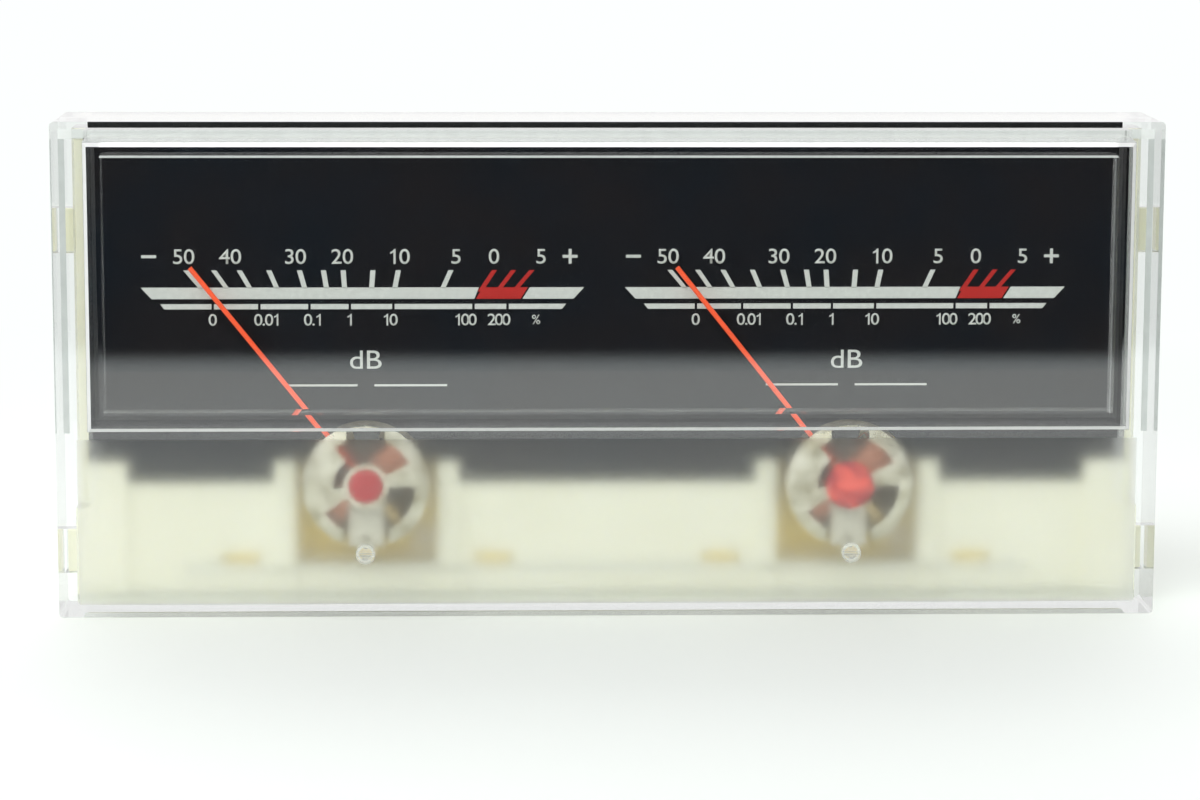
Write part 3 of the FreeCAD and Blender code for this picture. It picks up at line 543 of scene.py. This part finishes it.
def light_marks():
    mesh = bmesh.new()
    for tick in TICKS:
        ink_plate(mesh, scale_tick(tick, BAR_TOP - TICK_OVERLAP))
    for bottom_x, top_x in LIGHT_BARS:
        ink_plate(mesh, bar(bottom_x, top_x, BAR_BOTTOM, BAR_TOP))
    for corners in thin_bars():
        ink_plate(mesh, corners)
    for x in (MINUS_PLACE, PLUS_PLACE):
        ink_plate(mesh, stroke(x, FIGURE_LEVEL, SIGN_ARM, SIGN_STROKE / 2))
    ink_plate(mesh, stroke(PLUS_PLACE, FIGURE_LEVEL, SIGN_STROKE / 2, SIGN_ARM), RAISED_PRINT)
    for side in (-1, 1):
        middle = side * (RULE_INNER + RULE_OUTER) / 2
        ink_plate(mesh, stroke(middle, RULE_LEVEL, (RULE_OUTER - RULE_INNER) / 2, RULE_STROKE / 2))
    return mesh


def red_marks():
    mesh = bmesh.new()
    ink_plate(mesh, bar(*RED_BAR, BAR_BOTTOM, BAR_TOP))
    for tick in RED_TICKS:
        ink_plate(mesh, scale_tick(tick, BAR_TOP - RED_TICK_OVERLAP), RAISED_PRINT)
    return mesh


def text_mesh(body, weight=0.0):
    """Flat mesh of a text in the X-Y plane."""
    curve = bpy.data.curves.new("text", "FONT")
    curve.body = body
    curve.offset = weight
    holder = bpy.data.objects.new("text", curve)
    bpy.context.scene.collection.objects.link(holder)
    bpy.context.view_layer.update()
    made = bpy.data.meshes.new_from_object(holder.evaluated_get(bpy.context.evaluated_depsgraph_get()))
    bpy.data.objects.remove(holder)
    return made


def spans(made):
    """Lowest and highest X and Y of a mesh."""
    xs = [vertex.co.x for vertex in made.vertices]
    ys = [vertex.co.y for vertex in made.vertices]
    return (min(xs), max(xs)), (min(ys), max(ys))


def glyph(character, weight):
    """One figure, 1 high and centred on X, with the base line at 0."""
    if character == "1":
        made = bpy.data.meshes.new("outline")
        made.from_pydata([(x, y, 0.0) for x, y in ONE_OUTLINE], [], [range(len(ONE_OUTLINE))])
        return made
    measure = text_mesh("0", weight)
    _, (bottom, top) = spans(measure)
    bpy.data.meshes.remove(measure)
    made = text_mesh(character, weight)
    (left, right), _ = spans(made)
    rise = top - bottom
    made.transform(Matrix.Translation((-(left + right) / 2, -bottom, 0.0)))
    made.transform(Matrix.Diagonal((GLYPH_WIDTH / rise, 1.0 / rise, 1.0, 1.0)))
    return made


def stand_up(mesh, made, x, z, size):
    """Adds a flat outline to the print, facing the viewer, scaled by its width and height."""
    made.transform(Matrix.Diagonal((size[0] * MM, size[1] * MM, 1.0, 1.0)))
    made.transform(Matrix.Rotation(math.pi / 2, 4, "X"))
    made.transform(Matrix.Translation((x * MM, 0.0, z * MM)))
    mesh.from_mesh(made)
    bpy.data.meshes.remove(made)


def add_figure(mesh, figure, x, z, height, pitch, weight):
    """A figure's characters side by side, centred on x and z."""
    widths = [height * (POINT_PITCH if character == "." else pitch) for character in figure]
    place = x - sum(widths) / 2
    for character, width in zip(figure, widths):
        stand_up(mesh, glyph(character, weight), place + width / 2, z - height / 2, (height, height))
        place += width


def add_word(mesh, word, x, z, height, width_scale, weight=0.0):
    """A word or sign centred on x and z."""
    made = text_mesh(word, weight)
    (left, right), (bottom, top) = spans(made)
    scale = height / (top - bottom)
    made.transform(Matrix.Translation((-(left + right) / 2, -(bottom + top) / 2, 0.0)))
    stand_up(mesh, made, x, z, (scale * width_scale, scale))


def figures():
    mesh = bmesh.new()
    for figure, x in FIGURES:
        add_figure(mesh, figure, x, FIGURE_LEVEL, FIGURE_HEIGHT, FIGURE_PITCH, FIGURE_WEIGHT)
    for figure, x in LOWER_FIGURES:
        add_figure(mesh, figure, x, LOWER_LEVEL, LOWER_HEIGHT, LOWER_PITCH, LOWER_WEIGHT)
    add_word(mesh, "%", PERCENT_PLACE, LOWER_LEVEL, PERCENT_HEIGHT, PERCENT_WIDTH, LOWER_WEIGHT)
    add_word(mesh, "dB", 0.0, UNIT_LEVEL, UNIT_HEIGHT, UNIT_WIDTH)
    return mesh


LIGHT_INK = print_ink("light_ink", (0.72, 0.74, 0.71))
RED_INK = print_ink("red_ink", (0.56, 0.012, 0.008))
for side in SIDES:
    origin = Vector((PIVOTS[side].x + PRINT_OFFSET[side] * MM, DIAL_LOW.y, 0.0))
    finish_piece(light_marks(), side + "_scale_marks", LIGHT_INK, origin)
    finish_piece(figures(), side + "_scale_figures", LIGHT_INK, origin, thickness=PRINT_THICKNESS * MM)
    finish_piece(red_marks(), side + "_scale_red_zone", RED_INK, origin)


# Film border with painted shade at its sides, and a painted dark line on the rim, which show through the clear
# edges of the cover

def add_box(mesh, x, y, z):
    made = bmesh.ops.create_cube(mesh, size=1.0)
    size = Vector((x[1] - x[0], y[1] - y[0], z[1] - z[0]))
    middle = Vector((x[0] + x[1], y[0] + y[1], z[0] + z[1])) / 2
    matrix = Matrix.Translation(middle) @ Matrix.Diagonal((*size, 1.0))
    bmesh.ops.transform(mesh, matrix=matrix, verts=made["verts"])


def side_strips_painted_shade():
    """Edge of the film on the housing's rim, left and right of the dial, in grey: painted shade, a darker copy of
    the white film above the dial.
    """
    mesh = bmesh.new()
    for side in (-1, 1):
        x = sorted((side * (HOUSING_HIGH.x - FILM_WIDTH), side * HOUSING_HIGH.x))
        add_box(mesh, x, FILM_LEVELS, (FROST_TOP, DIAL_HIGH.z))
    return mesh


def film_top():
    mesh = bmesh.new()
    add_box(mesh, (HOUSING_LOW.x, HOUSING_HIGH.x), FILM_LEVELS, (DIAL_HIGH.z + FILM_GAP, HOUSING_HIGH.z))
    return mesh


def painted_rim_line():
    """Thin black line between the cover's back rim and the top of the housing: a painted dark line that stands for
    the dark dial seen through the cover's top wall.
    """
    mesh = bmesh.new()
    add_box(mesh, (DIAL_LOW.x, DIAL_HIGH.x), (COVER_HIGH.y, COVER_HIGH.y + DARK_LINE_RISE),
            (HOUSING_HIGH.z, HOUSING_HIGH.z + DARK_LINE_WIDTH))
    return mesh


# Painted shade: a darker copy of the white film, for the grey bands along the dial's sides
FILM_PAINTED_SHADE = plain_plastic("film_painted_shade", (0.62, 0.65, 0.64), 0.5)
WHITE_FILM = plain_plastic("white_film", (0.93, 0.95, 0.94), 0.5)
# Painted dark line: stands for the dark dial seen through the cover's top wall
PAINTED_DARK_LINE = plain_plastic("painted_dark_line", (0.02, 0.022, 0.026), 0.5)
finish_piece(side_strips_painted_shade(), "side_strips_painted_shade", FILM_PAINTED_SHADE)
finish_piece(film_top(), "film_top", WHITE_FILM)
finish_piece(painted_rim_line(), "painted_rim_line", PAINTED_DARK_LINE)


# Floor and dark room

def stage_plane(name, x, y, z, mat):
    """Flat horizontal piece of the set."""
    mesh = bpy.data.meshes.new(name)
    corners = [(x[0], y[0], z), (x[1], y[0], z), (x[1], y[1], z), (x[0], y[1], z)]
    mesh.from_pydata(corners, [], [(0, 1, 2, 3)])
    plane = bpy.data.objects.new(name, mesh)
    bpy.context.scene.collection.objects.link(plane)
    paint(plane, mat)
    return plane


def floor_paint():
    """Pale paper that keeps the object's shadow and turns to an even white further off."""
    mat = new_material("floor_paint", (0.88, 0.915, 0.89), 0.6)
    vary_color(mat, (0.88, 0.915, 0.89), (0.86, 0.895, 0.87), scale=5.0)
    distance = add(mat, "ShaderNodeVectorMath", operation="LENGTH")
    link(mat, place_socket(mat), distance.inputs[0])
    far = remap(mat, distance.outputs["Value"], PAPER_REACH, (0.0, 1.0))
    glow = add(mat, "ShaderNodeEmission", Color=(0.965, 1.0, 0.98, 1.0))
    _, y, _ = place_parts(mat)
    link(mat, remap(mat, y, GLOW_SPAN, GLOW_STRENGTH), glow.inputs["Strength"])
    seen = is_ray(mat, "Camera", "Glossy", "Transmission")
    blend_surface(mat, all_of(mat, far, seen), glow.outputs["Emission"])
    return mat


def dark_room():
    """Fades from the floor's brightness to black towards the camera."""
    mat = new_material("dark_room", (0.0, 0.0, 0.0), 0.9, Specular_IOR_Level=0.0,
                       Emission_Color=(0.93, 1.0, 1.0, 1.0))
    _, y, _ = place_parts(mat)
    fade = remap(mat, y, (DARK_FULL, DARK_START), (0.004, 0.86), interpolation="SMOOTHSTEP")
    link(mat, fade, shader_input(mat, "Emission Strength"))
    return mat


floor_span = (-FLOOR_HALF, FLOOR_HALF)
stage_plane("floor", floor_span, floor_span, FLOOR_LEVEL, floor_paint())

# The unlit part of the room in front of the table, which only the window's gloss shows
card = stage_plane("dark_card", (-DARK_HALF, DARK_HALF), (-FLOOR_HALF, DARK_START), DARK_LEVEL, dark_room())
card.visible_camera = False
card.visible_diffuse = False
card.visible_shadow = False


# Lamps, room light and camera

for name, place, size, power in LAMPS:
    lamp = bpy.data.lights.new(name, "AREA")
    lamp.shape = "RECTANGLE"
    lamp.size, lamp.size_y = size
    lamp.energy = power
    holder = bpy.data.objects.new(name, lamp)
    bpy.context.scene.collection.objects.link(holder)
    holder.location = place
    holder.rotation_mode = "QUATERNION"
    holder.rotation_quaternion = (LAMP_TARGET - Vector(place)).to_track_quat("-Z", "Y")

scene = bpy.context.scene
world = bpy.data.worlds.new("studio")
scene.world = world
world.use_nodes = True
background = world.node_tree.nodes["Background"]
background.inputs["Color"].default_value = (1.0, 1.0, 1.0, 1.0)
seen = is_ray(world, "Camera", "Transmission", "Glossy")
link(world, remap(world, seen, (0.0, 1.0), (ROOM_LIGHT, ROOM_SEEN)), background.inputs["Strength"])

scene.view_settings.view_transform = "Standard"

lens = bpy.data.cameras.new("camera")
lens.lens = CAMERA_LENS
lens.sensor_width = CAMERA_SENSOR
lens.clip_start = CAMERA_NEAR
camera = bpy.data.objects.new("camera", lens)
scene.collection.objects.link(camera)
turn = (Matrix.Rotation(-CAMERA_YAW, 4, "Z") @ Matrix.Rotation(math.pi / 2 - CAMERA_PITCH, 4, "X")
        @ Matrix.Rotation(CAMERA_ROLL, 4, "Z"))
camera.matrix_world = Matrix.Translation(CAMERA_PLACE) @ turn
scene.camera = camera
